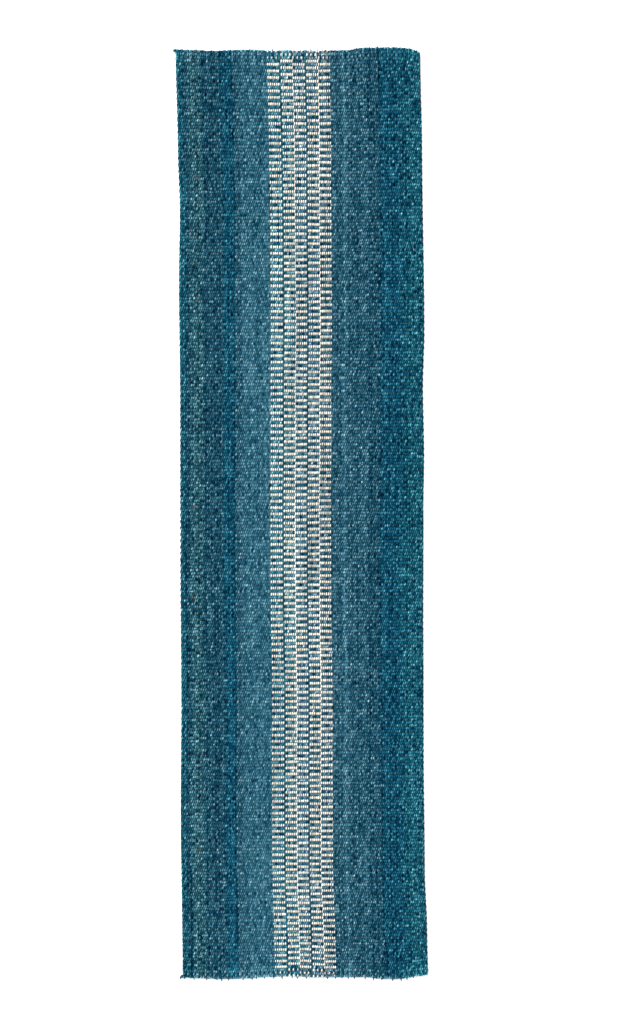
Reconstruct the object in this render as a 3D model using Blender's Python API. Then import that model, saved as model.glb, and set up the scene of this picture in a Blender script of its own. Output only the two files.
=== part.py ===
"""A hand-woven runner rug in warp-faced plain weave, built from its yarns.

Metres.  +X runs across the rug, +Y along it and +Z up.  The origin is on the floor, at the middle of
the box round the whole rug.

The warp yarns run the length of the rug, over and under one continuous weft yarn.  At each end they
turn round an end cord and go back on the other side.  Warp yarns of one colour run lie against each
other, so each run is one flat band: a closed loop with the weft and the two end cords inside it.
"""

import math

import bmesh
import bpy

# Driving dimensions.
RUG_LENGTH = 3.000  # from warp loop to warp loop
WARP_SPACING = 0.003375  # from one warp yarn to the next, across the rug
WARP_THICKNESS = 0.0030  # of a warp yarn, pressed flat over the weft
WEFT_SPACING = 0.01007  # from one weft row to the next, along the rug, on average
WEFT_SPREAD = 0.06  # rows lie this share further apart at the far end, and closer at the near one
WEFT_WIDTH = 0.0060  # of a weft row, along the rug
WEFT_THICKNESS = 0.0034
END_CORD_DIAMETER = 0.0034
KNOT_DIAMETER = 0.0090  # of the knot at the left end of each end cord
KNOT_LENGTH = 0.0090
CLEARANCE = 0.0003  # left between yarns that touch
LOOP_STEPS = 8  # flats round the half circle of a warp loop
CORD_SIDES = 10

# Warp runs from left to right: name, number of warp yarns, colour.
TEAL = (0.021, 0.112, 0.162)
HEATHER = (0.036, 0.122, 0.165)
BEIGE_HEATHER = (0.028, 0.095, 0.130)
DENIM = (0.040, 0.138, 0.195)
SLATE = (0.030, 0.118, 0.172)
DARK = (0.016, 0.086, 0.134)
NIGHT = (0.011, 0.080, 0.132)
MIXED = (0.230, 0.300, 0.310)
CREAM = (0.830, 0.790, 0.680)
WARP_RUNS = (
    ("left_selvedge_warp", 5, TEAL),
    ("left_edge_line_warp", 4, DARK),
    ("left_heather_outer_warp", 7, HEATHER),
    ("left_heather_line_warp", 2, BEIGE_HEATHER),
    ("left_heather_inner_warp", 4, HEATHER),
    ("left_dark_outer_warp", 13, DARK),
    ("left_dark_middle_warp", 6, DARK),
    ("left_night_warp", 11, NIGHT),
    ("left_denim_outer_warp", 6, SLATE),
    ("left_denim_middle_warp", 15, DENIM),
    ("left_denim_inner_warp", 12, DENIM),
    ("check_column_1_warp", 11, MIXED),
    ("blue_divider_1_2_warp", 2, DENIM),
    ("check_column_2_warp", 10, MIXED),
    ("cream_divider_2_3_warp", 2, CREAM),
    ("check_column_3_warp", 10, MIXED),
    ("blue_divider_3_4_warp", 2, DENIM),
    ("check_column_4_warp", 10, MIXED),
    ("cream_divider_4_5_warp", 2, CREAM),
    ("check_column_5_warp", 11, MIXED),
    ("right_denim_inner_warp", 10, SLATE),
    ("right_denim_light_warp", 4, DENIM),
    ("right_denim_outer_warp", 6, SLATE),
    ("right_middle_dark_warp", 6, DARK),
    ("right_middle_light_warp", 4, SLATE),
    ("right_middle_warp", 5, DARK),
    ("right_dark_inner_warp", 11, DARK),
    ("right_night_warp", 20, NIGHT),
    ("right_teal_warp", 10, TEAL),
    ("right_selvedge_warp", 10, TEAL),
)
WEFT_COLOUR = (0.020, 0.060, 0.090)
END_CORD_COLOUR = (0.016, 0.058, 0.085)

# Worked out from the above.
SHED_RADIUS = WEFT_THICKNESS / 2 + CLEARANCE  # half the height inside a band, round the weft
LOOP_RADIUS = END_CORD_DIAMETER / 2 + CLEARANCE  # inside a warp loop, round an end cord
MIDDLE_HEIGHT = max(SHED_RADIUS, LOOP_RADIUS) + WARP_THICKNESS
WARP_WIDTH = WARP_SPACING * sum(count for _, count, _ in WARP_RUNS)
WEFT_TURN_REACH = CLEARANCE + WEFT_THICKNESS  # past the outer warp yarns
KNOT_REACH = CLEARANCE + KNOT_LENGTH
LEFT_EDGE = (max(KNOT_REACH, WEFT_TURN_REACH) - WEFT_TURN_REACH - WARP_WIDTH) / 2
RIGHT_EDGE = LEFT_EDGE + WARP_WIDTH
END_CORD_Y = RUG_LENGTH / 2 - LOOP_RADIUS - WARP_THICKNESS
LAST_ROW_GAP = max(KNOT_DIAMETER, END_CORD_DIAMETER) / 2 + WEFT_WIDTH / 2 + CLEARANCE
ROW_COUNT = math.floor(2 * (END_CORD_Y - LAST_ROW_GAP) / WEFT_SPACING) + 1
LAST_ROW_Y = (ROW_COUNT - 1) / 2 * WEFT_SPACING


def clear_scene():
    for thing in list(bpy.data.objects):
        bpy.data.objects.remove(thing, do_unlink=True)


def wool(name, colour):
    """A plain wool material of one colour."""
    material = bpy.data.materials.new(name)
    material.use_nodes = True
    shader = material.node_tree.nodes["Principled BSDF"]
    shader.inputs["Base Color"].default_value = (*colour, 1.0)
    shader.inputs["Roughness"].default_value = 0.95
    shader.inputs["Metallic"].default_value = 0.0
    material.diffuse_color = (*colour, 1.0)
    return material


def add_object(name, mesh_builder, colour):
    """A named object from a finished bmesh, with faces pointing out and its own material."""
    bmesh.ops.recalc_face_normals(mesh_builder, faces=mesh_builder.faces)
    mesh = bpy.data.meshes.new(name)
    mesh_builder.to_mesh(mesh)
    mesh_builder.free()
    mesh.shade_smooth()
    mesh.set_sharp_from_angle(angle=math.radians(40))
    thing = bpy.data.objects.new(name, mesh)
    bpy.context.scene.collection.objects.link(thing)
    mesh.materials.append(wool(name, colour))
    return thing


def band_outline(outward):
    """Points (y, z) round a band, outward from its inner face: the shed, and a loop at each end."""
    shed_end = LAST_ROW_Y + WEFT_WIDTH / 2
    shed, loop = SHED_RADIUS + outward, LOOP_RADIUS + outward
    points = []
    for end in (1, -1):
        points.append((end * shed_end, MIDDLE_HEIGHT - end * shed))
        for step in range(LOOP_STEPS + 1):
            angle = end * (step / LOOP_STEPS - 0.5) * math.pi
            y = END_CORD_Y + loop * math.cos(angle)
            points.append((end * y, MIDDLE_HEIGHT + loop * math.sin(angle)))
        points.append((end * shed_end, MIDDLE_HEIGHT + end * shed))
    return points


def warp_band(name, left, right, colour):
    """All warp yarns of one run: a closed loop over the face, round both end cords and under."""
    builder = bmesh.new()
    outer = [builder.verts.new((left, y, z)) for y, z in band_outline(WARP_THICKNESS)]
    inner = [builder.verts.new((left, y, z)) for y, z in band_outline(0.0)]
    count = len(outer)
    side = [
        builder.faces.new((outer[i], outer[(i + 1) % count], inner[(i + 1) % count], inner[i]))
        for i in range(count)
    ]
    grown = bmesh.ops.extrude_face_region(builder, geom=side)["geom"]
    moved = [part for part in grown if isinstance(part, bmesh.types.BMVert)]
    bmesh.ops.translate(builder, verts=moved, vec=(right - left, 0.0, 0.0))
    return add_object(name, builder, colour)


def add_tube(name, sections, colour):
    """A closed tube through sections of equal point counts, with a flat face over each end."""
    builder = bmesh.new()
    rings = [[builder.verts.new(point) for point in section] for section in sections]
    for ring, next_ring in zip(rings, rings[1:]):
        for i in range(len(ring)):
            j = (i + 1) % len(ring)
            builder.faces.new((ring[i], ring[j], next_ring[j], next_ring[i]))
    builder.faces.new(rings[0][::-1])
    builder.faces.new(rings[-1])
    return add_object(name, builder, colour)


def weft_section(x, half_across, y, half_along):
    """One six-sided section of the weft, from its left edge, as the yarn runs, to its right edge.

    The left edge is half_across and half_along from (x, y), and the right edge is as far the other way,
    so a section is square to a row, or cut on the slant where a row meets its turn.
    """
    half_height = WEFT_THICKNESS / 2
    corners = ((1, 0), (0.5, 1), (-0.5, 1), (-1, 0), (-0.5, -1), (0.5, -1))
    return [
        (x + side * half_across, y + side * half_along, MIDDLE_HEIGHT + up * half_height)
        for side, up in corners
    ]


def row_y(row):
    """Where a weft row lies along the rug, from the near end, where rows lie closest."""
    share = 2 * row / (ROW_COUNT - 1) - 1
    return LAST_ROW_Y * (share - WEFT_SPREAD / 2 * (1 - share**2))


def weft(name):
    """One yarn laid in rows across the rug, with a turn outside the selvedge between two rows."""
    turn_middle = CLEARANCE + WEFT_THICKNESS / 2
    turns = (LEFT_EDGE - turn_middle, RIGHT_EDGE + turn_middle)
    sections = []
    for row in range(ROW_COUNT):
        y = row_y(row)
        way = 1 if row % 2 == 0 else -1  # even rows run to the right
        for x in turns[::way]:
            sections.append(weft_section(x, -WEFT_THICKNESS / 2, y, way * WEFT_WIDTH / 2))
    last_x = RIGHT_EDGE if way == 1 else LEFT_EDGE
    sections[0] = weft_section(LEFT_EDGE, 0.0, -LAST_ROW_Y, WEFT_WIDTH / 2)
    sections[-1] = weft_section(last_x, 0.0, LAST_ROW_Y, way * WEFT_WIDTH / 2)
    return add_tube(name, sections, WEFT_COLOUR)


def round_section(x, y, z, radius):
    angles = [2 * math.pi * side / CORD_SIDES for side in range(CORD_SIDES)]
    return [(x, y + radius * math.cos(angle), z + radius * math.sin(angle)) for angle in angles]


def end_cord(name, y):
    """The cord inside the warp loops at one end, with a knot outside the left selvedge."""
    knot_right = LEFT_EDGE - CLEARANCE
    knot_left = knot_right - KNOT_LENGTH
    knot_height = max(MIDDLE_HEIGHT, KNOT_DIAMETER / 2)  # a fat knot rests on the floor
    sections = [
        round_section(knot_left + along * KNOT_LENGTH, y, knot_height, share * KNOT_DIAMETER / 2)
        for along, share in ((0.0, 0.55), (0.2, 0.90), (0.5, 1.00), (0.8, 0.90), (1.0, 0.60))
    ]
    for x in (knot_right, RIGHT_EDGE):
        sections.append(round_section(x, y, MIDDLE_HEIGHT, END_CORD_DIAMETER / 2))
    return add_tube(name, sections, END_CORD_COLOUR)


def build_rug():
    clear_scene()
    rug = bpy.data.objects.new("runner_rug", None)
    bpy.context.scene.collection.objects.link(rug)
    pieces = []
    edge = LEFT_EDGE
    for name, count, colour in WARP_RUNS:
        next_edge = edge + count * WARP_SPACING
        pieces.append(warp_band(name, edge + CLEARANCE / 2, next_edge - CLEARANCE / 2, colour))
        edge = next_edge
    pieces.append(weft("weft"))
    pieces.append(end_cord("far_end_cord", END_CORD_Y))
    pieces.append(end_cord("near_end_cord", -END_CORD_Y))
    for piece in pieces:
        piece.parent = rug


build_rug()
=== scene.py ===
"""The looks of the hand-woven runner rug: every yarn of its warp-faced plain weave.

Metres.  +X runs across the rug, +Y along it and +Z up.  The warp yarns run along the rug, over and
under the weft rows, and turn round a cord at each end.  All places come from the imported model.
"""

import math

import bpy
import numpy as np
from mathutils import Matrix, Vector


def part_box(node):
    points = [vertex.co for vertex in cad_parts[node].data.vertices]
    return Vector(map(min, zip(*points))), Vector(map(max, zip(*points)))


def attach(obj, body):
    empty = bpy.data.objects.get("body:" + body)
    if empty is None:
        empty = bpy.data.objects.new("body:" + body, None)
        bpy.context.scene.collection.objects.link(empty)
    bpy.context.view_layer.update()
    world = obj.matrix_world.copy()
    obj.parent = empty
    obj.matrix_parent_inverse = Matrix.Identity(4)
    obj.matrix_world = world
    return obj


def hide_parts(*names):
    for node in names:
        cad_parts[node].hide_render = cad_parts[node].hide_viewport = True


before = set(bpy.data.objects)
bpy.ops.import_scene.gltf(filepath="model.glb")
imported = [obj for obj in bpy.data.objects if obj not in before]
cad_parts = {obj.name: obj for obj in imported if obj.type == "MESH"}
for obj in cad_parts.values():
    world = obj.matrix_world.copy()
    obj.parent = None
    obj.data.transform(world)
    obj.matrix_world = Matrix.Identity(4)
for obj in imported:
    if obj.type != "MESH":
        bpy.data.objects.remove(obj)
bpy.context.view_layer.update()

# The warp order from left to right: CAD node, number of yarns, material slot.
TEAL, HEATHER, BEIGE = "teal_wool", "heather_wool", "beige_heather_wool"
DENIM, SLATE, DARK, NIGHT = "denim_wool", "slate_wool", "dark_wool", "night_wool"
CHECK, CREAM = "check_wool", "cream_wool"
WARP_RUNS = (
    ("left_selvedge_warp", 5, TEAL),
    ("left_edge_line_warp", 4, DARK),
    ("left_heather_outer_warp", 7, HEATHER),
    ("left_heather_line_warp", 2, BEIGE),
    ("left_heather_inner_warp", 4, HEATHER),
    ("left_dark_outer_warp", 13, DARK),
    ("left_dark_middle_warp", 6, DARK),
    ("left_night_warp", 11, NIGHT),
    ("left_denim_outer_warp", 6, SLATE),
    ("left_denim_middle_warp", 15, DENIM),
    ("left_denim_inner_warp", 12, DENIM),
    ("check_column_1_warp", 11, CHECK),
    ("blue_divider_1_2_warp", 2, DENIM),
    ("check_column_2_warp", 10, CHECK),
    ("cream_divider_2_3_warp", 2, CREAM),
    ("check_column_3_warp", 10, CHECK),
    ("blue_divider_3_4_warp", 2, DENIM),
    ("check_column_4_warp", 10, CHECK),
    ("cream_divider_4_5_warp", 2, CREAM),
    ("check_column_5_warp", 11, CHECK),
    ("right_denim_inner_warp", 10, SLATE),
    ("right_denim_light_warp", 4, DENIM),
    ("right_denim_outer_warp", 6, SLATE),
    ("right_middle_dark_warp", 6, DARK),
    ("right_middle_light_warp", 4, SLATE),
    ("right_middle_warp", 5, DARK),
    ("right_dark_inner_warp", 11, DARK),
    ("right_night_warp", 20, NIGHT),
    ("right_teal_warp", 10, TEAL),
    ("right_selvedge_warp", 10, TEAL),
)
YARN_COUNT = sum(count for _, count, _ in WARP_RUNS)
# The solid fields are warped with a lighter and a darker shade in turn.  At these yarns the turns
# flip, which gives small checks.
SHADE_FLIPS = (2, 5, 13, 17, 24, 28, 32, 35, 39, 44, 47, 51,
               150, 153, 157, 161, 164, 169, 172, 176, 180, 184, 187, 191, 195, 199, 202, 205,
               209, 213, 216, 220, 225)
EVEN_FIELD_START = 54  # from here to the end of the check band there are no such turns
# Yarns that are darker from one place along the rug to another: (yarn, from y, to y).
DARK_LINES = ((8, -1.5, -1.15), (192, -1.5, -1.38), (193, -1.5, -1.40))
DARK_LINE_TONE = 0.6
CHECK_START = 85  # the first yarn of the check band
COLUMN_YARNS = 12  # of one check column, with its half of each divider
COLUMN_COUNT = 5
CHECK_END = CHECK_START + COLUMN_YARNS * COLUMN_COUNT

# Dyed wool, as linear colours.
DYES = {
    TEAL: (0.0098, 0.119, 0.183),
    HEATHER: (0.0290, 0.140, 0.195),
    BEIGE: (0.0305, 0.120, 0.154),
    DENIM: (0.0440, 0.182, 0.265),
    SLATE: (0.0290, 0.138, 0.208),
    DARK: (0.0124, 0.092, 0.151),
    NIGHT: (0.0063, 0.094, 0.166),
}
CREAM_WOOL = (0.92, 0.885, 0.78)
RUST_WOOL = (0.20, 0.11, 0.06)
RUST_SHARE = 0.004  # of the heather stitches that show a tuft of rust wool
COLUMN_BLUES = (
    (0.029, 0.188, 0.265),
    (0.041, 0.205, 0.278),
    (0.040, 0.172, 0.250),
    (0.045, 0.172, 0.245),
    (0.034, 0.136, 0.197),
)
PALE_FIBRE = (0.13, 0.28, 0.34)  # of paler blue, carded into the blue yarns
# The weft's own dark teal, made darker still as painted shade where it shows between the warp yarns.
WEFT_DYE_AND_SHADE = (0.003, 0.045, 0.080)
CORD_DYE = (0.006, 0.070, 0.110)
# How far red, green and blue move with a yarn's tone, which runs from about -1 to 1.
TONE_REACH = {DENIM: (0.90, 0.50, 0.41), SLATE: (1.00, 0.52, 0.42), HEATHER: (1.10, 0.62, 0.52),
              BEIGE: (1.10, 0.62, 0.52)}
DARK_TONE_REACH = (1.45, 0.66, 0.52)  # of the other blues, which lose their red first
TONE_POWER = 2.2
LEAST_LIGHT = 0.06  # of a dye's own light, before the power, in its darkest fibre
MOST_TONE = 1.1  # either way

# Sizes of the weave that the imported model doesn't hold.
WEFT_ROWS = 296
ROW_SPREAD = 0.06  # rows lie this share further apart at the far end, and closer at the near one
WEFT_WIDTH = 0.0060
WEFT_THICKNESS = 0.0034
CREST_HALF_WIDTH = 0.00298  # of a warp yarn where it lies on the weft
CREAM_HALF_WIDTH = 0.00250  # the cream yarns are spun finer
CREST_HALF_THICKNESS = 0.00155
SELVEDGE_SPREAD = 0.0006  # nothing holds the outermost yarn in
SELVEDGE_HALF_WIDTH = 0.0027  # of the outermost yarns, between rows too
CROWDED_HALF_WIDTH = 0.00200  # of a blue crest with a neighbour up beside it
CROWDED_CREAM_HALF_WIDTH = 0.00235
BLUE_RISE = 0.0008  # between rows the bulkier blue yarns push up, and the cream ones sink
CREAM_SINK = 0.0017
CROSSING_HALF_WIDTH = 0.00178  # where neighbours pass each other between rows
HEM_HALF_WIDTH = 0.00225  # at the hem, where the darned tails fill the gaps
HEM_CREST_SHARE = 0.95  # of that, which a crest there has at least
CROSSING_HALF_THICKNESS = 0.00200
CREST_FALL = 0.8  # the power by which a crest's width falls off towards a crossing
WRAP_RADIUS = 0.0032  # of a warp yarn's middle round a weft row or an end cord
LEAN = 0.0005  # a stitch leans this far sideways, as its twist pushes it
FLOOR_GAP = 0.0002  # between the lowest points and the floor
RINGS_PER_ROW = 4
YARN_SIDES = 6
MOST_YARNS = 14  # in one piece
HEM_ROWS = 3  # rows at each end, the cord's own among them, where the tails are darned in
SINK_EVERY = 4  # in the hem, one yarn in so many stays down

WRAP_RINGS = 7  # round an end cord
OVER_WRAP = math.radians(200)  # a yarn that comes over the cord turns this far round it
UNDER_WRAP = math.radians(120)  # and one that comes from below turns this far
LOOP_SLACK = 1.15  # of a loop's radius, against that of a yarn round a weft row
WRAP_HALF_WIDTH = 0.0021  # where the yarns lie side by side round the cord
TAIL_LENGTH = 0.0060  # of the darned end under the hem
TAIL_SHARE = 0.30  # of the yarn's thickness left at its tip
TUFT_REACH = (0.0112, 0.0085)  # of a cut tail that sticks out past the near and the far cord
TUFT_SPACING = 8  # yarns from one such tail to the next, about
TUFT_RISE = 0.35  # of the way from its root up to the cord's middle, which its tip reaches

# The spread of each chance, in metres or as a share.
ROW_WAVE_SPREAD = 0.0007  # of a row along the rug
DRIFT_SPREAD = 0.00035  # of a yarn across the rug, slowly along it
STITCH_SHIFT_SPREAD = 0.00022  # of one stitch across the rug
WRAP_SLACK_SPREAD = (0.14, 0.08)  # of the loops' radii, over some yarns together and for each alone
WRAP_LEAN_SPREAD = 0.0006
TUFT_LENGTH_SPREAD = 0.12
CREST_HEIGHT_SPREAD = 0.0004
CREST_HEIGHT_LIMITS = (-0.0009, 0.0006)
PLUMPNESS_SPREAD = 0.13
PLUMPNESS_LIMITS = (0.72, 1.2)


def middle(node):
    """The middle of a CAD node's box."""
    low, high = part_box(node)
    return (low + high) / 2


LEFT_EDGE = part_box("left_selvedge_warp")[0].x
RIGHT_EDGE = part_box("right_selvedge_warp")[1].x
CENTRE_X = (LEFT_EDGE + RIGHT_EDGE) / 2
HALF_WIDTH = (RIGHT_EDGE - LEFT_EDGE) / 2
HALF_LENGTH = 1.5  # half of the length from loop to loop
WARP_SPACING = 2 * HALF_WIDTH / YARN_COUNT
END_CORD_Y = middle("far_end_cord").y
MIDDLE_HEIGHT = middle("weft").z
LAST_ROW_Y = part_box("weft")[1].y - WEFT_WIDTH / 2
random = np.random.default_rng(11)


# Chance, all from one seed.
def chance(*shape):
    """Numbers round zero with a spread of one."""
    return random.standard_normal(shape)


def smoothed(values, reach, axis):
    """Values blurred over about reach cells along one axis, and brought back to a spread of one."""
    steps = np.arange(-2 * reach, 2 * reach + 1)
    weights = np.exp(-0.5 * (steps / reach) ** 2)
    margin = [(0, 0)] * values.ndim
    margin[axis] = (2 * reach, 2 * reach)
    wide = np.pad(values, margin, mode="reflect")
    blurred = np.apply_along_axis(lambda line: np.convolve(line, weights, "valid"), axis, wide)
    return blurred / blurred.std()


# Where rows and yarns lie.
def row_places():
    """Along the rug: the near end cord, every weft row, and the far end cord."""
    share = np.linspace(-1, 1, WEFT_ROWS)
    rows = LAST_ROW_Y * (share - ROW_SPREAD / 2 * (1 - share**2))
    return np.concatenate([[-END_CORD_Y], rows, [END_CORD_Y]])


ROW_Y = row_places()
ROW_TOTAL = len(ROW_Y)
YARN_X = LEFT_EDGE + (np.arange(YARN_COUNT) + 0.5) * WARP_SPACING


def up_or_down():
    """+1 where a yarn lies over a row and -1 where it lies under it.

    Plain weave takes turns.  In the hem rows one yarn in four stays down and its neighbour stays up,
    because the tails are darned back beside the yarns.
    """
    yarn, row = np.meshgrid(np.arange(YARN_COUNT), np.arange(ROW_TOTAL), indexing="ij")
    over = np.where((yarn + row) % 2 == 0, 1.0, -1.0)
    column, place = np.divmod(yarn - CHECK_START, COLUMN_YARNS)
    even_column = (column % 2 == 1) & (column >= 0) & (column < COLUMN_COUNT)
    sinking = np.where(even_column, 3, 2)
    hem = np.minimum(row, ROW_TOTAL - 1 - row) < HEM_ROWS
    over[hem & (place % SINK_EVERY == sinking)] = -1.0
    over[hem & (place % SINK_EVERY == 5 - sinking)] = 1.0
    return over


OVER = up_or_down()


def is_cream(yarn):
    """Cream and blue take turns in the check band, and every second column starts with blue."""
    column, place = divmod(yarn - CHECK_START, COLUMN_YARNS)
    return 0 <= column < COLUMN_COUNT and (place + column) % 2 == 0


RUNS = [run for run, count, _ in WARP_RUNS for _ in range(count)]
SLOTS = [slot for _, count, slot in WARP_RUNS for _ in range(count)]
CREAM_YARNS = np.array([slot == CREAM or slot == CHECK and is_cream(yarn)
                        for yarn, slot in enumerate(SLOTS)])


# Small faults of hand weaving.
# How far each edge bows towards +X at places along the rug, and each end bows outward across it.
LEFT_BOW = ((-1.5, 0.0015), (-0.96, -0.0025), (-0.57, 0.0010), (-0.2, -0.0006), (0, 0),
            (0.4, 0.0012), (0.75, -0.0008), (0.98, 0.0030), (1.18, -0.0026), (1.5, -0.0085))
RIGHT_BOW = ((-1.5, 0.0105), (-1.35, 0.0085), (-1.15, 0.0016), (-0.8, -0.0002), (-0.4, 0.0002),
             (0, 0.0018), (0.2, 0.0055), (0.4, 0.0028), (0.6, 0.0082), (1.18, 0.0032),
             (1.5, -0.0022))
NEAR_END_BOW = ((-0.39, 0.0006), (-0.35, 0.0028), (-0.25, 0.0036), (-0.12, -0.0018),
                (-0.05, -0.0010), (0.08, 0.0016), (0.18, 0.0012), (0.25, 0.0066), (0.29, 0.0080),
                (0.36, -0.0012), (0.39, -0.0054))
FAR_END_BOW = ((-0.39, 0.0054), (-0.29, 0.0012), (-0.18, 0.0036), (0.03, 0.0006), (0.15, 0.0006),
               (0.21, 0.0064), (0.31, 0.0098), (0.35, 0.0076), (0.38, 0.0010), (0.395, -0.0075))
MIDDLE_BOW = ((-1.5, 0.0048), (-1.2, 0.0025), (-0.9, 0.0037), (-0.6, 0.004), (-0.3, 0.001),
              (0.1, -0.0002), (0.5, 0.0018), (0.8, 0.0024), (0.98, 0.0014), (1.18, 0.0044),
              (1.5, 0.0054))
END_BOW_REACH = 0.10  # how far an end's bow reaches into the rug
# The finer cream yarns let the check band draw in on each side, but less near the far end.
BAND_SQUEEZE = ((-1.5, 0.0028), (0.9, 0.0024), (1.3, 0.0002), (1.5, -0.0012))
BAND_X = (middle("check_column_1_warp").x + middle("check_column_5_warp").x) / 2
BAND_HALF_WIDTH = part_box("check_column_5_warp")[1].x - BAND_X
ROW_WAVE = smoothed(smoothed(chance(YARN_COUNT, ROW_TOTAL), 9, 0), 3, 1) * ROW_WAVE_SPREAD
YARN_DRIFT = smoothed(smoothed(chance(YARN_COUNT, ROW_TOTAL), 9, 1), 1, 0) * DRIFT_SPREAD
STITCH_SHIFT = chance(YARN_COUNT, ROW_TOTAL) * STITCH_SHIFT_SPREAD
WRAP_SLACK = smoothed(chance(YARN_COUNT, 2), 1, 0) * WRAP_SLACK_SPREAD[0]
WRAP_SLACK += chance(YARN_COUNT, 2) * WRAP_SLACK_SPREAD[1]
WRAP_LEAN = chance(YARN_COUNT, 2) * WRAP_LEAN_SPREAD
TUFT_LENGTH = 1 + chance(YARN_COUNT, 2) * TUFT_LENGTH_SPREAD
TUFT_STARTS = np.arange(0, YARN_COUNT - TUFT_SPACING, TUFT_SPACING)
TUFT_PLACES = 2 * random.integers(0, TUFT_SPACING // 2, (2, len(TUFT_STARTS)))
# The yarns that end in a tuft at the near and the far end lie under the cord there.
TUFT_YARNS = (TUFT_STARTS + TUFT_PLACES[0] + 1, TUFT_STARTS + TUFT_PLACES[1])
CREST_HEIGHT = chance(YARN_COUNT, ROW_TOTAL) * CREST_HEIGHT_SPREAD
CREST_HEIGHT = CREST_HEIGHT.clip(*CREST_HEIGHT_LIMITS)
PLUMPNESS = 1 + chance(YARN_COUNT, ROW_TOTAL) * PLUMPNESS_SPREAD
PLUMPNESS = PLUMPNESS.clip(*PLUMPNESS_LIMITS)


def bow(outline, place):
    """The outline's value at each place, with round bends instead of corners."""
    known, values = np.array(outline).T
    step = np.clip(np.searchsorted(known, place) - 1, 0, len(known) - 2)
    share = np.clip((place - known[step]) / (known[step + 1] - known[step]), 0, 1)
    share = share * share * (3 - 2 * share)
    return values[step] * (1 - share) + values[step + 1] * share


RIPPLE_HEIGHT = 0.0014
CURL_HEIGHT = 0.003  # of the corners
CURL_REACH = 0.06  # of their curl, along the rug


def lift(x, y):
    """How far the rug stands off the floor: it never lies quite flat."""
    # Three waves, each one to two metres long, that run in different directions.
    ripple = np.sin(3.1 * y + 1.3 * x + 0.5) * np.sin(4.7 * y - 2.0 * x + 1.1) * np.cos(5 * x)
    corner = np.exp(-((HALF_LENGTH - np.abs(y)) / CURL_REACH) ** 2)
    curl = corner * (np.abs(x) / HALF_WIDTH) ** 6
    return RIPPLE_HEIGHT * (1 + ripple) + CURL_HEIGHT * curl


def laid(x, y, z):
    """A point of the straight, level weave where the real rug has it."""
    side = (x - CENTRE_X) / HALF_WIDTH
    sideways = bow(LEFT_BOW, y) * (1 - side) / 2 + bow(RIGHT_BOW, y) * (1 + side) / 2
    sideways += bow(MIDDLE_BOW, y) * (1 - side**2).clip(0)
    far = bow(FAR_END_BOW, x - CENTRE_X) * np.exp(-((END_CORD_Y - y) / END_BOW_REACH).clip(0))
    near = bow(NEAR_END_BOW, x - CENTRE_X) * np.exp(-((END_CORD_Y + y) / END_BOW_REACH).clip(0))
    band = (x - BAND_X) / BAND_HALF_WIDTH
    sideways -= bow(BAND_SQUEEZE, y) * band * np.exp((1 - band**2) / 2)
    return np.stack([x + sideways, y + far - near, z + lift(x, y)], axis=-1)


# Yarn paths.
def between(values, row, share):
    """Values given per row, at places between the rows."""
    return values[..., row] * (1 - share) + values[..., row + 1] * share


def straight_stretch():
    """Every yarn from cord to cord: its middle line on the level weave and its half sizes."""
    place = np.arange((ROW_TOTAL - 1) * RINGS_PER_ROW + 1) / RINGS_PER_ROW
    row = np.minimum(place.astype(int), ROW_TOTAL - 2)
    share = place - row
    turn = (1 - np.cos(math.pi * share)) / 2
    over = between(OVER, row, turn)
    x = YARN_X[:, None] + between(YARN_DRIFT, row, share) + between(STITCH_SHIFT, row, turn)
    x += LEAN * OVER[:, row] * np.sin(math.pi * share) * (1 - share)
    x += LEAN * OVER[:, row + 1] * np.sin(math.pi * (share - 1)) * share
    y = between(ROW_Y, row, share) + between(ROW_WAVE, row, share)
    z = MIDDLE_HEIGHT + WRAP_RADIUS * over + between(CREST_HEIGHT, row, turn)
    z += np.where(CREAM_YARNS, -CREAM_SINK, BLUE_RISE)[:, None] * np.sin(math.pi * share)
    crowd = np.zeros_like(OVER)
    crowd[1:] = np.maximum(crowd[1:], OVER[1:] * OVER[:-1])
    crowd[:-1] = np.maximum(crowd[:-1], OVER[1:] * OVER[:-1])
    free = np.where(CREAM_YARNS, CREAM_HALF_WIDTH, CREST_HALF_WIDTH)[:, None]
    x[0] -= SELVEDGE_SPREAD
    x[-1] += SELVEDGE_SPREAD
    crowded = np.where(CREAM_YARNS, CROWDED_CREAM_HALF_WIDTH, CROWDED_HALF_WIDTH)[:, None]
    crest = np.where(crowd > 0, crowded, free) * PLUMPNESS
    flatness = np.abs(over) ** CREST_FALL
    hem = np.minimum(place, ROW_TOTAL - 1 - place) < HEM_ROWS
    crossing = np.where(hem, HEM_HALF_WIDTH, CROSSING_HALF_WIDTH)
    crossing = np.tile(crossing, (YARN_COUNT, 1))
    crossing[[0, -1]] = SELVEDGE_HALF_WIDTH
    width = crossing + (between(crest, row, turn) - crossing) * flatness
    width = np.where(hem, np.maximum(width, HEM_CREST_SHARE * HEM_HALF_WIDTH), width)
    thickness = CROSSING_HALF_THICKNESS + (CREST_HALF_THICKNESS - CROSSING_HALF_THICKNESS) * flatness
    return x, y, z, width, thickness, np.broadcast_to(place, x.shape)


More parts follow.
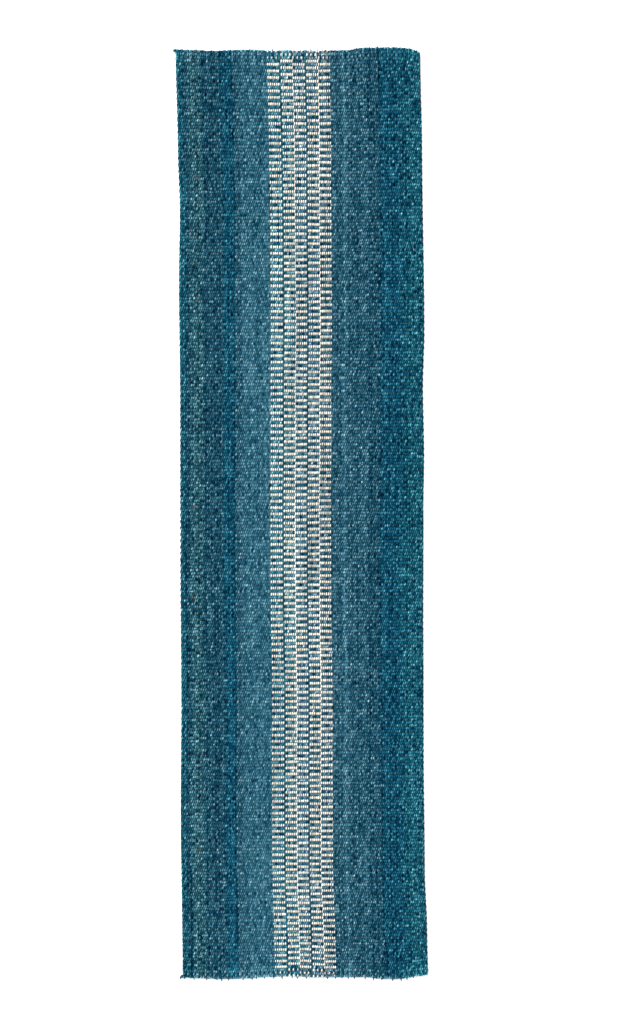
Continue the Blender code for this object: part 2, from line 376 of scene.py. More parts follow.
def end_wrap(end):
    """The rings of every yarn round one end cord, from the cord's own row outward.

    end is +1 at the far cord and -1 at the near one.  A yarn that comes over the cord goes round it
    and a little way back underneath.  One that comes from below ends on the outside.
    """
    row = 0 if end < 0 else ROW_TOTAL - 1
    over = OVER[:, row][:, None]
    share = np.arange(1, WRAP_RINGS + 1) / WRAP_RINGS
    turned = np.where(over > 0, OVER_WRAP, UNDER_WRAP) * share
    side = min(row, 1)
    radius = WRAP_RADIUS * (np.where(over > 0, LOOP_SLACK, 1.0) + WRAP_SLACK[:, side][:, None])
    out = radius * np.sin(turned)
    up = over * WRAP_RADIUS * np.cos(turned)
    back = np.where((over > 0) & (turned > math.pi), TAIL_LENGTH, 0)
    out = out - back
    tuft = (over < 0) & np.isin(np.arange(YARN_COUNT), TUFT_YARNS[side])[:, None]
    out = np.where(tuft, TUFT_REACH[side] * TUFT_LENGTH[:, side][:, None] * share, out)
    up = np.where(tuft, -WRAP_RADIUS * (1 - TUFT_RISE * share), up)
    x = (YARN_X + YARN_DRIFT[:, row] + STITCH_SHIFT[:, row])[:, None]
    x = x + WRAP_LEAN[:, side][:, None] * np.sin(turned).clip(0)
    y = ROW_Y[row] + ROW_WAVE[:, row][:, None] + end * out
    z = MIDDLE_HEIGHT + up
    taper = 1 - (1 - TAIL_SHARE) * share**3
    crest = np.where(over > 0, CREST_HALF_WIDTH, WRAP_HALF_WIDTH)
    width = (WRAP_HALF_WIDTH + (crest - WRAP_HALF_WIDTH) * np.cos(turned).clip(0)) * taper
    thickness = np.broadcast_to(CREST_HALF_THICKNESS * taper, out.shape)
    place = np.broadcast_to(row + end * share, out.shape)
    return x, y, z, width, thickness, place


def whole_yarns():
    """The rings of all the yarns, from the tail at the near end to the tail at the far end."""
    near = [part[:, ::-1] for part in end_wrap(-1)]
    return [np.concatenate(parts, axis=1) for parts in zip(near, straight_stretch(), end_wrap(1))]


X, Y, Z, HALF_WIDTHS, HALF_THICKNESSES, PLACE = whole_yarns()
PATH = laid(X, Y, Z)


# Meshes.
def tube_frame(path):
    """The sideways and the upward direction at every ring of paths that run mostly along Y or Z."""
    along = np.gradient(path, axis=-2)
    along /= np.linalg.norm(along, axis=-1, keepdims=True)
    across = np.array([1.0, 0.0, 0.0]) - along[..., :1] * along
    across /= np.linalg.norm(across, axis=-1, keepdims=True)
    return across, np.cross(across, along)


def tube_faces(tubes, rings, sides):
    """Quads round each tube, and a cap at each of its ends."""
    tube, ring, side = np.meshgrid(
        np.arange(tubes), np.arange(rings - 1), np.arange(sides), indexing="ij")
    start = (tube * rings + ring) * sides
    beside = (side + 1) % sides
    quads = np.stack([start + side, start + sides + side, start + sides + beside, start + beside], -1)
    first = np.arange(tubes)[:, None] * rings * sides + np.arange(sides)
    last = first[:, ::-1] + (rings - 1) * sides
    return quads.reshape(-1, 4), np.concatenate([first, last])


def fill_mesh(name, points, quads, caps):
    """A new object from its points and faces."""
    mesh = bpy.data.meshes.new(name)
    corners = np.concatenate([quads.ravel(), caps.ravel()]).astype(np.int32)
    sizes = np.concatenate([np.full(len(quads), 4), np.full(len(caps), caps.shape[1])])
    starts = np.concatenate([[0], np.cumsum(sizes)[:-1]]).astype(np.int32)
    mesh.vertices.add(len(points))
    mesh.vertices.foreach_set("co", points.astype(np.float32).ravel())
    mesh.loops.add(len(corners))
    mesh.loops.foreach_set("vertex_index", corners)
    mesh.polygons.add(len(sizes))
    mesh.polygons.foreach_set("loop_start", starts)
    mesh.update(calc_edges=True)
    mesh.shade_smooth()
    piece = bpy.data.objects.new(name, mesh)
    bpy.context.scene.collection.objects.link(piece)
    return piece


def add_map(piece, name, places):
    """A named map, with one place for each corner of each face."""
    layer = piece.data.uv_layers.new(name=name)
    layer.uv.foreach_set("vector", places.astype(np.float32).ravel())


def cap_places(centre_u, centre_v, sides, size):
    """The corners of the caps, as small polygons round their own centres."""
    angle = 2 * math.pi * np.arange(sides) / sides
    u = centre_u[:, None] + size * np.cos(angle)
    v = centre_v[:, None] + size * np.sin(angle)
    return np.stack([u, v], -1).reshape(-1, 2)


MAP_MARGIN = 0.02  # of the unfolded map, at its left and right
MAP_LENGTH = 1 - 2 * MAP_MARGIN


def tube_maps(piece, lengths, sides, folds, phase):
    """Two maps: "strand", metres along a tube and turns round it, and "OFBake", all of it unfolded.

    lengths is the distance along each tube at each ring.  In "OFBake" every tube is cut into folds
    strips of equal length, which lie side by side.
    """
    tubes, rings = lengths.shape
    ends = np.stack([lengths[:, :-1], lengths[:, 1:], lengths[:, 1:], lengths[:, :-1]], -1)
    ends = np.repeat(ends[:, :, None, :], sides, axis=2)
    side = np.arange(sides)[:, None] + np.array([0, 0, 1, 1])
    turns = np.broadcast_to(side / sides, ends.shape)
    strand = np.stack([ends + phase[:, None, None, None], turns], -1).reshape(-1, 2)
    caps = np.concatenate([np.stack([lengths[:, 0] + phase, 0 * phase], -1),
                           np.stack([lengths[:, -1] + phase, 0 * phase], -1)])
    strand = np.concatenate([strand, np.repeat(caps, sides, axis=0)])
    add_map(piece, "strand", strand)

    per_fold = -(-(rings - 1) // folds)
    ring = np.arange(rings - 1)
    fold = ring // per_fold
    along = (ring % per_fold)[:, None] + np.array([0, 1, 1, 0])
    u = MAP_MARGIN + MAP_LENGTH * along / per_fold
    strip = np.arange(tubes)[:, None] * folds + fold
    count = tubes * folds + 1
    # A tenth of each strip's height is left free on both sides.
    v = (strip[:, :, None, None] + 0.1 + 0.8 * side / sides) / count
    u = np.broadcast_to(u[None, :, None, :], v.shape)
    unfolded = np.stack([u, v], -1).reshape(-1, 2)
    spots = (np.arange(2 * tubes) + 0.5) / (2 * tubes)
    middle_v = np.full(2 * tubes, (count - 0.5) / count)
    size = min(0.3 / count, 0.2 / tubes)
    cap = cap_places(MAP_MARGIN + MAP_LENGTH * spots, middle_v, sides, size)
    add_map(piece, "OFBake", np.concatenate([unfolded, cap]))


def add_dye(piece, colours, streaks):
    """A colour at each point, and as its alpha how streaky the yarn is there."""
    dye = piece.data.attributes.new("dye", "FLOAT_COLOR", "POINT")
    dye.data.foreach_set("color", np.column_stack([colours, streaks]).astype(np.float32).ravel())


def ring_lengths(path):
    """The distance along each path at each of its rings."""
    steps = np.linalg.norm(np.diff(path, axis=-2), axis=-1)
    return np.concatenate([np.zeros_like(steps[..., :1]), np.cumsum(steps, axis=-1)], axis=-1)


# Colours.
TONE_STEP = 0.22  # between the two shades of a solid field and their middle
HEM_TONE = 0.22  # the hem rows are worked looser and catch more light
# Painted light on the loops round the end cords, whose outer sides turn down into shade.
LOOP_PAINTED_LIGHT = 0.25
TUFT_DARKNESS = 1.0  # a cut tail shows its dark inside
DIVIDER_DARKNESS = 0.30  # of the blue yarns between two check columns
# Painted shade, where each stitch dives between its neighbours.
PAINTED_GAP_SHADE = 0.50  # of a stitch's colour, lost where it dives between its neighbours
# Runs whose wool differs a little from their slot's.
RUN_TONES = {
    "left_selvedge_warp": 0.09,
    "right_middle_dark_warp": 0.22,
    "right_middle_warp": 0.22,
}
CREAM_GAP_SHARE = 0.1  # of that painted shade on the cream yarns
# How much the tone differs by chance: from stitch to stitch, along a yarn, and over an area.
STITCH_TONE_SPREAD, CREAM_STITCH_TONE_SPREAD = 0.42, 0.07
YARN_TONE_SPREAD, CREAM_YARN_TONE_SPREAD = 0.06, 0.03
AREA_TONE_SPREAD = 0.03


def base_dye(yarn, slot):
    """A yarn's own colour, before its tone."""
    column = (yarn - CHECK_START) // COLUMN_YARNS
    if CREAM_YARNS[yarn]:
        return CREAM_WOOL
    if 0 <= column < COLUMN_COUNT:
        return COLUMN_BLUES[column]
    return DYES[slot]


def toned(base, tone, reach):
    """A dye made lighter or darker by the tone."""
    return base * (1 + tone * reach).clip(LEAST_LIGHT) ** TONE_POWER


def stitch_dyes_and_light():
    """Every yarn's colour at each row, with painted light on hem and loops: (yarns, rows, 3)."""
    base = np.array([base_dye(yarn, slot) for yarn, slot in enumerate(SLOTS)])
    cream = CREAM_YARNS[:, None]
    tone = chance(YARN_COUNT, ROW_TOTAL)
    tone *= np.where(cream, CREAM_STITCH_TONE_SPREAD, STITCH_TONE_SPREAD)
    along = smoothed(chance(YARN_COUNT, ROW_TOTAL), 12, 1)
    tone += along * np.where(cream, CREAM_YARN_TONE_SPREAD, YARN_TONE_SPREAD)
    area = smoothed(smoothed(chance(YARN_COUNT, ROW_TOTAL), 14, 1), 5, 0)
    tone += area * AREA_TONE_SPREAD
    yarns = np.arange(YARN_COUNT)
    flips = (yarns[:, None] >= np.array(SHADE_FLIPS)).sum(axis=1)
    turn = np.where((yarns + flips) % 2 == 0, 1, -1)
    even = (yarns >= EVEN_FIELD_START) & (yarns < CHECK_END)
    tone += np.where(even, 0, turn * TONE_STEP)[:, None]
    for yarn, start, end in DARK_LINES:
        tone[yarn, (ROW_Y > start) & (ROW_Y < end)] -= DARK_LINE_TONE
    rows = np.arange(ROW_TOTAL)
    from_end = np.minimum(rows, ROW_TOTAL - 1 - rows)
    tone += np.where(cream, 0, np.where(from_end < HEM_ROWS, HEM_TONE, 0))
    # Painted light on the loops round the end cords.
    tone += np.where(cream, 0, np.where(from_end < 1, LOOP_PAINTED_LIGHT, 0))
    tone[TUFT_YARNS[0], 0] -= TUFT_DARKNESS
    tone[TUFT_YARNS[1], -1] -= TUFT_DARKNESS
    divider = np.array([slot == DENIM for slot in SLOTS]) & (yarns > CHECK_START)
    divider &= yarns < CHECK_END
    tone[divider] -= DIVIDER_DARKNESS
    tone += np.array([RUN_TONES.get(run, 0.0) for run in RUNS])[:, None]
    reach = np.array([TONE_REACH.get(slot, DARK_TONE_REACH) for slot in SLOTS])[:, None]
    reach = np.where(cream[..., None], 1.0, reach)
    dyes_and_light = toned(base[:, None], tone.clip(-MOST_TONE, MOST_TONE)[..., None], reach)
    heather = np.array([slot in (HEATHER, BEIGE) for slot in SLOTS])[:, None]
    dyes_and_light[heather & (random.random((YARN_COUNT, ROW_TOTAL)) < RUST_SHARE)] = RUST_WOOL
    return dyes_and_light


STITCH_DYES_AND_LIGHT = stitch_dyes_and_light()


# Materials.
class Nodes:
    """A short way to add linked nodes to a material."""

    def __init__(self, material):
        self.tree = material.node_tree

    def add(self, kind, **settings):
        node = self.tree.nodes.new(kind)
        for key, value in settings.items():
            setattr(node, key, value)
        return node

    def link(self, source, target):
        self.tree.links.new(source, target)

    def put(self, target, value):
        """A socket's value: a link from another socket, or a number, a colour or a vector."""
        if isinstance(value, bpy.types.NodeSocket):
            self.link(value, target)
        else:
            target.default_value = value

    def math(self, operation, *values):
        node = self.add("ShaderNodeMath", operation=operation)
        for socket, value in zip(node.inputs, values):
            self.put(socket, value)
        return node.outputs["Value"]

    def product(self, first, second):
        """Two vectors or colours, multiplied part by part."""
        node = self.add("ShaderNodeVectorMath", operation="MULTIPLY")
        self.put(node.inputs[0], first)
        self.put(node.inputs[1], second)
        return node.outputs["Vector"]

    def noise(self, place, cells, detail):
        """Noise from about 0 to 1, with so many cells in a metre along each axis."""
        node = self.add("ShaderNodeTexNoise")
        self.put(node.inputs["Vector"], self.product(place, cells))
        node.inputs["Scale"].default_value = 1.0
        node.inputs["Detail"].default_value = detail
        return node.outputs["Fac"]

    def range(self, value, low, high, to_low, to_high):
        """The value, moved from one range to another with soft ends."""
        node = self.add("ShaderNodeMapRange", interpolation_type="SMOOTHSTEP")
        numbers = (value, low, high, to_low, to_high)
        for name, number in zip(("Value", "From Min", "From Max", "To Min", "To Max"), numbers):
            self.put(node.inputs[name], number)
        return node.outputs["Result"]

    def mix(self, factor, first, second):
        """A colour between the first and the second."""
        node = self.add("ShaderNodeMix", data_type="RGBA", clamp_factor=True)
        self.put(node.inputs["Factor"], factor)
        self.put(node.inputs[6], first)
        self.put(node.inputs[7], second)
        return node.outputs[2]


PLY_PITCH = 0.017  # of the twist, from one turn to the next
PLY_COUNT = 2
CREAM_STREAKS = 0.20  # of a blue yarn's streaks
# Cells of noise in a metre, across, along and up: fibres, locks of them, and flecks.
FIBRE_CELLS = (900.0, 330.0, 900.0)
LOCK_CELLS = (480.0, 250.0, 480.0)
FLECK_CELLS = (300.0, 190.0, 300.0)
# What makes up the tone inside a stitch.
BASE_TONE = -0.30
PLY_GROOVE_SHADE = 0.40  # painted shade, from the groove between the plies to their crests
FIBRE_TONE = 1.9
LOCK_TONE = 12  # times marl
FLECK_RANGE = (0.60, 0.74)  # of the noise, from no fleck to a full one
FIBRE_RELIEF, PLY_RELIEF = 0.45, 0.55  # in the height of the bumps
BUMP_HEIGHT = 0.0006
MARL = 0.24  # how far the two plies differ in tone
HEATHER_MARL = 0.28


def wool(name, marl, fleck, fleck_colour, reach=DARK_TONE_REACH):
    """Hand-spun two-ply yarn.

    marl is how far the plies differ, fleck the strength of flecks in fleck_colour, and reach how far
    red, green and blue move with the tone.  The dye itself is on the mesh, point by point; there it
    also holds painted shade and, on the warp, painted light.
    """
    material = bpy.data.materials.new(name)
    material.use_nodes = True
    nodes = Nodes(material)
    shader = nodes.tree.nodes["Principled BSDF"]
    # The dye, with painted shade and painted light in it.
    dye = nodes.add("ShaderNodeAttribute", attribute_name="dye")
    strand = nodes.add("ShaderNodeUVMap", uv_map="strand")
    parts = nodes.add("ShaderNodeSeparateXYZ")
    nodes.link(strand.outputs["UV"], parts.inputs["Vector"])
    place = nodes.add("ShaderNodeTexCoord").outputs["Object"]

    twist = nodes.math("MULTIPLY_ADD", parts.outputs["X"], 1 / PLY_PITCH, parts.outputs["Y"])
    wave = nodes.math("SINE", nodes.math("MULTIPLY", twist, math.pi * PLY_COUNT))
    # 0 in the groove between the plies, and 1 over the broad top of each ply.
    ply = nodes.range(nodes.math("ABSOLUTE", wave), 0.0, 0.5, 0.0, 1.0)
    marl_wave = nodes.math("SINE", nodes.math("MULTIPLY", twist, 2 * math.pi))
    fibre = nodes.noise(place, FIBRE_CELLS, 3.0)
    lock = nodes.noise(place, LOCK_CELLS, 2.0)
    tuft = nodes.noise(place, FLECK_CELLS, 2.0)

    tone = nodes.math("MULTIPLY_ADD", marl_wave, marl, BASE_TONE)
    # Painted shade in the grooves between the plies.
    tone = nodes.math("MULTIPLY_ADD", ply, PLY_GROOVE_SHADE, tone)
    tone = nodes.math("MULTIPLY_ADD", nodes.math("SUBTRACT", fibre, 0.5), FIBRE_TONE, tone)
    tone = nodes.math("MULTIPLY_ADD", nodes.math("SUBTRACT", lock, 0.5), LOCK_TONE * marl, tone)
    tone = nodes.math("MULTIPLY", tone, dye.outputs["Alpha"])
    tint = nodes.add("ShaderNodeCombineXYZ")
    for socket, share in zip(tint.inputs, reach):
        level = nodes.math("MAXIMUM", nodes.math("MULTIPLY_ADD", tone, share, 1.0), LEAST_LIGHT)
        nodes.put(socket, nodes.math("POWER", level, TONE_POWER))
    dyed = nodes.product(dye.outputs["Color"], tint.outputs["Vector"])
    flecked = nodes.range(tuft, *FLECK_RANGE, 0.0, fleck)
    colour = nodes.mix(flecked, dyed, (*fleck_colour, 1.0))
    nodes.link(colour, shader.inputs["Base Color"])

    ply_height = nodes.math("MULTIPLY", ply, PLY_RELIEF)
    height = nodes.math("MULTIPLY_ADD", fibre, FIBRE_RELIEF, ply_height)
    bump = nodes.add("ShaderNodeBump")
    bump.inputs["Strength"].default_value = 0.8
    bump.inputs["Distance"].default_value = BUMP_HEIGHT
    nodes.link(height, bump.inputs["Height"])
    nodes.link(bump.outputs["Normal"], shader.inputs["Normal"])
    shader.inputs["Roughness"].default_value = 0.92
    shader.inputs["Specular IOR Level"].default_value = 0.03
    return material


SAND_FIBRE = (0.30, 0.24, 0.16)
MATERIALS = {
    TEAL: wool("teal wool", MARL, 0.06, PALE_FIBRE),
    HEATHER: wool("heather wool", HEATHER_MARL, 0.14, SAND_FIBRE, TONE_REACH[HEATHER]),
    BEIGE: wool("beige heather wool", HEATHER_MARL, 0.25, SAND_FIBRE, TONE_REACH[BEIGE]),
    DENIM: wool("denim wool", MARL, 0.10, PALE_FIBRE, TONE_REACH[DENIM]),
    SLATE: wool("slate wool", MARL, 0.08, PALE_FIBRE),
    DARK: wool("dark wool", MARL, 0.05, PALE_FIBRE),
    NIGHT: wool("night wool", MARL, 0.04, PALE_FIBRE),
    CHECK: wool("check wool", MARL, 0.04, SAND_FIBRE),
    CREAM: wool("cream wool", MARL, 0.06, SAND_FIBRE),
    "weft_yarn": wool("weft yarn", MARL, 0.05, PALE_FIBRE),
    "end_cord_yarn": wool("end cord yarn", MARL, 0.05, PALE_FIBRE),
}


def put_on(piece, node, slot):
    """The piece stands for a CAD node and takes a slot's finish."""
    piece.data.materials.append(MATERIALS[slot])
    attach(piece, "root")
    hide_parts(node)


# The warp.
PHASE_STEP = 0.618  # of a turn of the twist, from one yarn to the next
WARP_FOLDS = 4  # of a yarn in the unfolded map


def warp_piece(name, node, slot, first, last):
    """The yarns from first up to last, as one piece."""
    path = PATH[first:last]
    tubes, rings = path.shape[:2]
    across, up = tube_frame(path)
    angle = 2 * math.pi * np.arange(YARN_SIDES) / YARN_SIDES
    wide = HALF_WIDTHS[first:last, :, None, None] * np.cos(angle)[:, None]
    high = HALF_THICKNESSES[first:last, :, None, None] * np.sin(angle)[:, None]
    points = path[:, :, None] + across[:, :, None] * wide + up[:, :, None] * high
    points[..., 2] = points[..., 2].clip(FLOOR_GAP)
    piece = fill_mesh(name, points.reshape(-1, 3), *tube_faces(tubes, rings, YARN_SIDES))
    phase = (np.arange(first, last) * PHASE_STEP % 1) * PLY_PITCH
    tube_maps(piece, ring_lengths(path), YARN_SIDES, WARP_FOLDS, phase)
    row = np.minimum(PLACE[0].clip(0).astype(int), ROW_TOTAL - 2)
    share = (PLACE[0] - row).clip(0, 1)[:, None]
    dyes_and_light = STITCH_DYES_AND_LIGHT[first:last]
    colours = dyes_and_light[:, row] * (1 - share) + dyes_and_light[:, row + 1] * share
    # Painted shade, deepest halfway between rows, where the stitches dive between their neighbours.
    gap = np.where(CREAM_YARNS[first:last], CREAM_GAP_SHARE, 1.0)[:, None, None] * PAINTED_GAP_SHADE
    colours *= 1 - gap * np.sin(math.pi * share) ** 2
    streaks = np.where(CREAM_YARNS[first:last], CREAM_STREAKS, 1.0)
    add_dye(piece, np.repeat(colours, YARN_SIDES, axis=1).reshape(-1, 3),
            np.repeat(streaks, rings * YARN_SIDES))
    put_on(piece, node, slot)
    return piece


def warp():
    """All the runs of yarns.  A run of many yarns is made of several pieces."""
    pieces = []
    first = 0
    for node, count, slot in WARP_RUNS:
        parts = -(-count // MOST_YARNS)
        for part in range(parts):
            start = first + count * part // parts
            end = first + count * (part + 1) // parts
            name = node.replace("_warp", "_yarns") + (f"_{part + 1}" if parts > 1 else "")
            pieces.append(warp_piece(name, node, slot, start, end))
        first += count
    return pieces


# The weft.
WEFT_FILL = 0.52  # of the way to the next row, on each side: it is beaten flat
HEM_SPREAD = 0.0014  # the first and the last row reach this far further towards their cord
WEFT_TURN_HALF_WIDTH = 0.0025  # round at the selvedges
WEFT_RINGS = 33  # along one row
TURN_RINGS = 5  # round one selvedge
WEFT_TURN_REACH = 0.0007  # of the weft's middle past the outermost warp yarns
WEFT_SIDES = 8
WEFT_INSET = 0.001  # of the end of a straight row, from the edge of the warp
WEFT_NARROWING = 0.8  # of the full width, one ring from there
WEFT_FOLDS = WEFT_ROWS // 2  # in the unfolded map
WEFT_SWELL = 0.05  # of its two plies
WEFT_SHADE_SPREAD = 0.15


def weft_path():
    """One yarn to and fro, row after row, and the half width it has there."""
    points, widths = [], []
    # The rings lie closest near the selvedges, where the yarn narrows for its turn.
    across = np.sin(np.linspace(-math.pi / 2, math.pi / 2, WEFT_RINGS))
    rows_x = CENTRE_X + (HALF_WIDTH - WEFT_INSET) * across
    turn = math.pi * np.arange(1, TURN_RINGS + 1) / (TURN_RINGS + 1)
    for row in range(1, WEFT_ROWS + 1):
        wave = np.interp(rows_x, YARN_X, ROW_WAVE[:, row])
        line = np.stack([rows_x, ROW_Y[row] + wave, np.full(WEFT_RINGS, MIDDLE_HEIGHT)], -1)
        rightward = row % 2 == 1
        if not rightward:
            line = line[::-1]
        fill = WEFT_FILL * (ROW_Y[row + 1] - ROW_Y[row - 1]) / 2
        if row in (1, WEFT_ROWS):
            fill += HEM_SPREAD
            line[:, 1] += HEM_SPREAD if row == WEFT_ROWS else -HEM_SPREAD
        points.append(line)
        half = np.full(WEFT_RINGS, fill)
        half[[0, -1]] = WEFT_TURN_HALF_WIDTH
        half[[1, -2]] = WEFT_NARROWING * fill
        widths.append(half)
        if row == WEFT_ROWS:
            break
        end = -1 if rightward else 0
        next_wave = np.interp(rows_x[end], YARN_X, ROW_WAVE[:, row + 1])
        start_y, end_y = line[-1, 1], ROW_Y[row + 1] + next_wave
        way = 1 if rightward else -1
        out = rows_x[end] + way * (WEFT_TURN_REACH + WEFT_INSET) * np.sin(turn)
        y = (start_y + end_y) / 2 - (end_y - start_y) / 2 * np.cos(turn)
        points.append(np.stack([out, y, np.full(TURN_RINGS, MIDDLE_HEIGHT)], -1))
        widths.append(np.full(TURN_RINGS, WEFT_TURN_HALF_WIDTH))
    return np.concatenate(points), np.concatenate(widths)


def weft():
    """The one weft yarn, as flat as it lies in the weave."""
    path, half_width = weft_path()
    path = laid(*path.T)
    along = np.gradient(path, axis=0)
    along /= np.linalg.norm(along, axis=1, keepdims=True)
    across = np.cross([0.0, 0.0, 1.0], along)
    across /= np.linalg.norm(across, axis=1, keepdims=True)
    up = np.cross(along, across)
    lengths = ring_lengths(path)
    angle = 2 * math.pi * np.arange(WEFT_SIDES) / WEFT_SIDES
    plump = 1 + WEFT_SWELL * np.cos(PLY_COUNT * (angle - lengths[:, None] / PLY_PITCH))
    wide = half_width[:, None] * np.cos(angle) * plump
    high = WEFT_THICKNESS / 2 * np.sin(angle) * plump
    points = path[:, None] - across[:, None] * wide[..., None] + up[:, None] * high[..., None]
    quads, caps = tube_faces(1, len(path), WEFT_SIDES)
    piece = fill_mesh("weft_yarn_rows", points.reshape(-1, 3), quads, caps)
    tube_maps(piece, lengths[None], WEFT_SIDES, WEFT_FOLDS, np.zeros(1))
    shade = np.exp(smoothed(chance(len(path)), 3, 0) * WEFT_SHADE_SPREAD)
    colours = np.array(WEFT_DYE_AND_SHADE) * np.repeat(shade, WEFT_SIDES)[:, None]
    add_dye(piece, colours, np.ones(len(colours)))
    put_on(piece, "weft", "weft_yarn")
    return piece


WARP_PIECES = warp()
WEFT = weft()


# The end cords.
CORD_RADIUS = 0.0017
CORD_SIDES = 12
CORD_PLIES = 3
CORD_LOBES = (0.90, 0.12)  # of its radius: the mean, and how far each ply stands out from it
CORD_RING_STEP = 0.0025
CORD_TWIST = 0.012  # one turn of its plies
KNOT_TURNS = 2.5
KNOT_RINGS = 40
KNOT_RADIUS = 0.0036  # of the windings' middle
KNOT_CORD_RADIUS = 0.0021  # of the soft windings
KNOT_STEP = 0.0024  # from winding to winding
TIP_STRANDS = 9
TIP_RINGS = 8
TIP_RADIUS = 0.0012
KNOT_PLACE = 0.0012  # of the first winding, outside the warp
CORD_END = 0.0015  # of the cord's right end, outside the warp
CORD_TAPER = 0.6  # of its thickness lost at its end
TIP_SHORTENING = 0.6  # of the outer strands' reach, for each part of the fan
TIP_SPRAY = 0.002  # up and down
# The frayed tip at the near and the far end: how far it reaches, spreads, and leans along the rug.
TIP_SIZES = ((0.0050, 0.013, -0.0060), (0.0030, 0.009, 0.0005))


def plied_tube(path, radius):
    """Points of a tube with the lobes of its plies turning along it, thinner at its end."""
    along = np.gradient(path, axis=0)
    along /= np.linalg.norm(along, axis=1, keepdims=True)
    # Where the path runs nearly upright, +X takes the place of +Z.
    guide = np.where(np.abs(along[:, 2:]) > 0.9, [[1.0, 0.0, 0.0]], [[0.0, 0.0, 1.0]])
    across = np.cross(along, guide)
    across /= np.linalg.norm(across, axis=1, keepdims=True)
    up = np.cross(across, along)
    turn = ring_lengths(path)[:, None] / CORD_TWIST * 2 * math.pi
    angle = 2 * math.pi * np.arange(CORD_SIDES) / CORD_SIDES
    taper = 1 - CORD_TAPER * np.linspace(0, 1, len(path)) ** 4
    lobes = CORD_LOBES[0] + CORD_LOBES[1] * np.cos(CORD_PLIES * angle - turn)
    size = radius * taper[:, None] * lobes
    wide = (size * np.cos(angle))[..., None]
    high = (size * np.sin(angle))[..., None]
    return path[:, None] + across[:, None] * wide + up[:, None] * high


def cord_run(end, row):
    """The middle line of the cord inside the loops, from its right end to the knot."""
    knot_x = LEFT_EDGE - KNOT_PLACE
    count = int((RIGHT_EDGE - knot_x) / CORD_RING_STEP)
    x = np.linspace(RIGHT_EDGE + CORD_END, knot_x - KNOT_STEP * KNOT_TURNS, count)
    y = END_CORD_Y * end + np.interp(x, YARN_X, ROW_WAVE[:, row])
    return np.stack([x, y, np.full(count, MIDDLE_HEIGHT)], -1)


def knot_windings(end, row):
    """The middle line of the cord wound round itself outside the left selvedge."""
    turn = np.linspace(0, 2 * math.pi * KNOT_TURNS, KNOT_RINGS)
    x = LEFT_EDGE - KNOT_PLACE - KNOT_STEP * turn / (2 * math.pi)
    y = END_CORD_Y * end + ROW_WAVE[0, row] + KNOT_RADIUS * np.sin(turn)
    z = MIDDLE_HEIGHT + KNOT_RADIUS * np.cos(turn)
    return np.stack([x, y, z], -1)


def tip_strand(strand, end, row):
    """The middle line of one strand of the frayed tip: each one rises or sinks by its own share."""
    share = np.linspace(0, 1, TIP_RINGS)
    fan = (strand - (TIP_STRANDS - 1) / 2) / TIP_STRANDS
    reach, spread, lean = TIP_SIZES[min(row, 1)]
    start = LEFT_EDGE - KNOT_PLACE - KNOT_STEP * KNOT_TURNS
    x = start - reach * share * (1 - TIP_SHORTENING * abs(fan))
    y = END_CORD_Y * end + ROW_WAVE[0, row] + (spread * fan + lean) * share
    z = MIDDLE_HEIGHT + TIP_SPRAY * math.sin(5.0 * strand) * share - TIP_SPRAY * share**2
    return np.stack([x, y, z], -1)


def end_cord(node, end):
    """The cord inside the loops of one end, its knot at the left corner and the frayed tip."""
    row = 0 if end < 0 else ROW_TOTAL - 1
    tubes = [(cord_run(end, row), CORD_RADIUS), (knot_windings(end, row), KNOT_CORD_RADIUS)]
    for strand in range(TIP_STRANDS):
        tubes.append((tip_strand(strand, end, row), TIP_RADIUS))
    points, quads, caps = [], [], []
    total = 0
    for path, radius in tubes:
        points.append(plied_tube(laid(*path.T), radius).reshape(-1, 3))
        more_quads, more_caps = tube_faces(1, len(path), CORD_SIDES)
        quads.append(more_quads + total)
        caps.append(more_caps + total)
        total += len(points[-1])
    points = np.concatenate(points)
    points[:, 2] = points[:, 2].clip(FLOOR_GAP)
    piece = fill_mesh(node + "_yarn", points, np.concatenate(quads), np.concatenate(caps))
    loops = len(piece.data.loops)
    corner = np.empty(loops, dtype=np.int32)
    piece.data.loops.foreach_get("vertex_index", corner)
    add_map(piece, "strand", np.stack([points[corner, 0], np.zeros(loops)], -1))
    add_dye(piece, np.tile(CORD_DYE, (len(points), 1)), np.ones(len(points)))
    put_on(piece, node, "end_cord_yarn")
    return piece


CORDS = [end_cord("near_end_cord", -1), end_cord("far_end_cord", 1)]


# The stage.
FLOOR_SIZE = 400.0
FLOOR_WHITE = (0.93, 0.93, 0.925, 1.0)
FLOOR_GLOW = 0.45
SKY_STRENGTH = 0.62
LAMP_STRENGTH = 3.4
LAMP_TILT = (-35, -25)  # degrees about X and Y
LAMP_SPREAD = 12  # degrees across, which softens the shadows


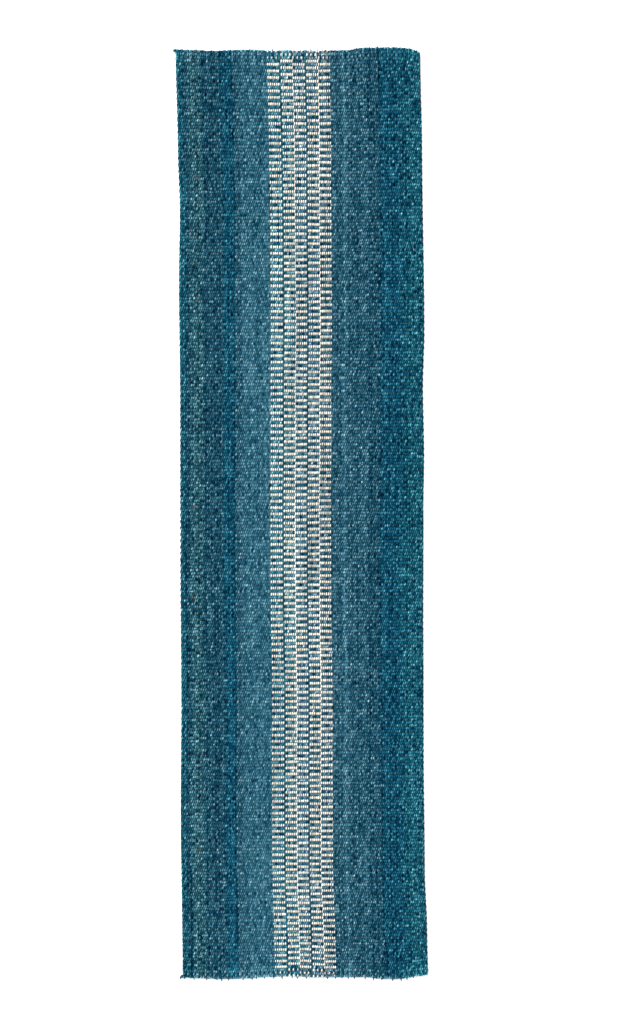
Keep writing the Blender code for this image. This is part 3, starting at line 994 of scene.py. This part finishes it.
def floor():
    """A wide white floor, bright enough to show as white."""
    mesh = bpy.data.meshes.new("floor")
    half = FLOOR_SIZE / 2
    mesh.from_pydata([(-half, -half, 0), (half, -half, 0), (half, half, 0), (-half, half, 0)], [],
                     [(0, 1, 2, 3)])
    piece = bpy.data.objects.new("floor", mesh)
    bpy.context.scene.collection.objects.link(piece)
    material = bpy.data.materials.new("pale floor")
    material.use_nodes = True
    shader = material.node_tree.nodes["Principled BSDF"]
    shader.inputs["Base Color"].default_value = FLOOR_WHITE
    shader.inputs["Roughness"].default_value = 0.9
    shader.inputs["Specular IOR Level"].default_value = 0.1
    shader.inputs["Emission Color"].default_value = (1.0, 1.0, 1.0, 1.0)
    shader.inputs["Emission Strength"].default_value = FLOOR_GLOW
    mesh.materials.append(material)


def sky():
    """Even white light from all around."""
    world = bpy.data.worlds.new("studio")
    world.use_nodes = True
    background = world.node_tree.nodes["Background"]
    background.inputs["Color"].default_value = (1.0, 1.0, 1.0, 1.0)
    background.inputs["Strength"].default_value = SKY_STRENGTH
    bpy.context.scene.world = world


def lamp():
    """A broad lamp above one side, for soft shadows between the yarns."""
    light = bpy.data.lights.new("softbox", "SUN")
    light.energy = LAMP_STRENGTH
    light.angle = math.radians(LAMP_SPREAD)
    piece = bpy.data.objects.new("softbox", light)
    piece.rotation_euler = (math.radians(LAMP_TILT[0]), math.radians(LAMP_TILT[1]), 0)
    bpy.context.scene.collection.objects.link(piece)


CAMERA_HEIGHT = 8.0
PICTURE_HEIGHT = 3.312  # of the floor that the picture takes in, in metres
CAMERA_PLACE = (0.0565, 0.0055)
CAMERA_ROLL = -0.0044  # radians
SENSOR_HEIGHT = 24.0  # millimetres


def camera():
    """Straight above the rug."""
    data = bpy.data.cameras.new("camera")
    data.sensor_fit = "VERTICAL"
    data.sensor_height = SENSOR_HEIGHT
    distance = CAMERA_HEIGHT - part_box("weft")[1].z
    data.lens = data.sensor_height * distance / PICTURE_HEIGHT
    piece = bpy.data.objects.new("camera", data)
    piece.location = (*CAMERA_PLACE, CAMERA_HEIGHT)
    piece.rotation_euler = (0, 0, CAMERA_ROLL)
    bpy.context.scene.collection.objects.link(piece)
    bpy.context.scene.camera = piece


floor()
sky()
lamp()
camera()
bpy.context.scene.view_settings.view_transform = "Standard"
